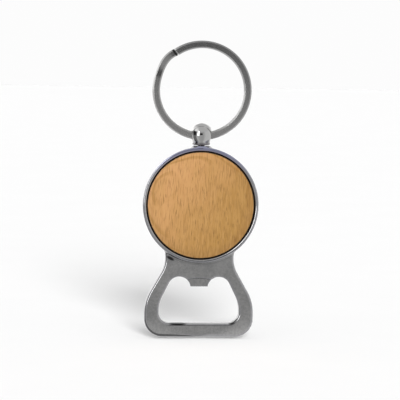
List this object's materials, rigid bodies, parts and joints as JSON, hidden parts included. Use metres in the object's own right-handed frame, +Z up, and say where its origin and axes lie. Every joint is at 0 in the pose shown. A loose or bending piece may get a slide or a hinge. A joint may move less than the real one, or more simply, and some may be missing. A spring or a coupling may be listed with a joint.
{
  "type": "keychain bottle opener",
  "caption": "Cast bottle opener with a round wooden inlay, a shaped cap opening with a lifting tooth, and a swivelling ball on a split ring.",
  "frame": {"origin": "the point inside the top of the split ring where a hook or a finger carries the object", "axes": "+Z up along the hanging object, -Y out of the front with the wooden disc, +X to the right seen from the front"},
  "size_m": [0.0351, 0.007, 0.09],
  "materials": {
    "ring_steel": "polished nickel-plated spring steel",
    "ball_chrome": "polished chrome plate",
    "washer_steel": "plain steel",
    "body_gunmetal": "polished gunmetal plate on a zinc casting",
    "wood": "oiled beech, upright grain",
    "adhesive": "white double-sided film"
  },
  "bodies": {
    "ring": {"split_ring": "ring_steel"},
    "ball": {"swivel_ball": "ball_chrome", "stud_washer": "washer_steel"},
    "opener": {"opener_body": "body_gunmetal", "wood_disc": "wood", "adhesive_disc": "adhesive"}
  },
  "joints": [
    {"name": "ring_swing", "type": "hinge", "parent": "ring", "child": "ball", "pos_m": [0, 0, -0.02685], "axis": [1, 0, 0], "range_deg": [-135, 135]},
    {"name": "ball_swivel", "type": "hinge", "parent": "ball", "child": "opener", "pos_m": [0, 0, -0.02965], "axis": [0, 0, 1], "continuous": true}
  ]
}
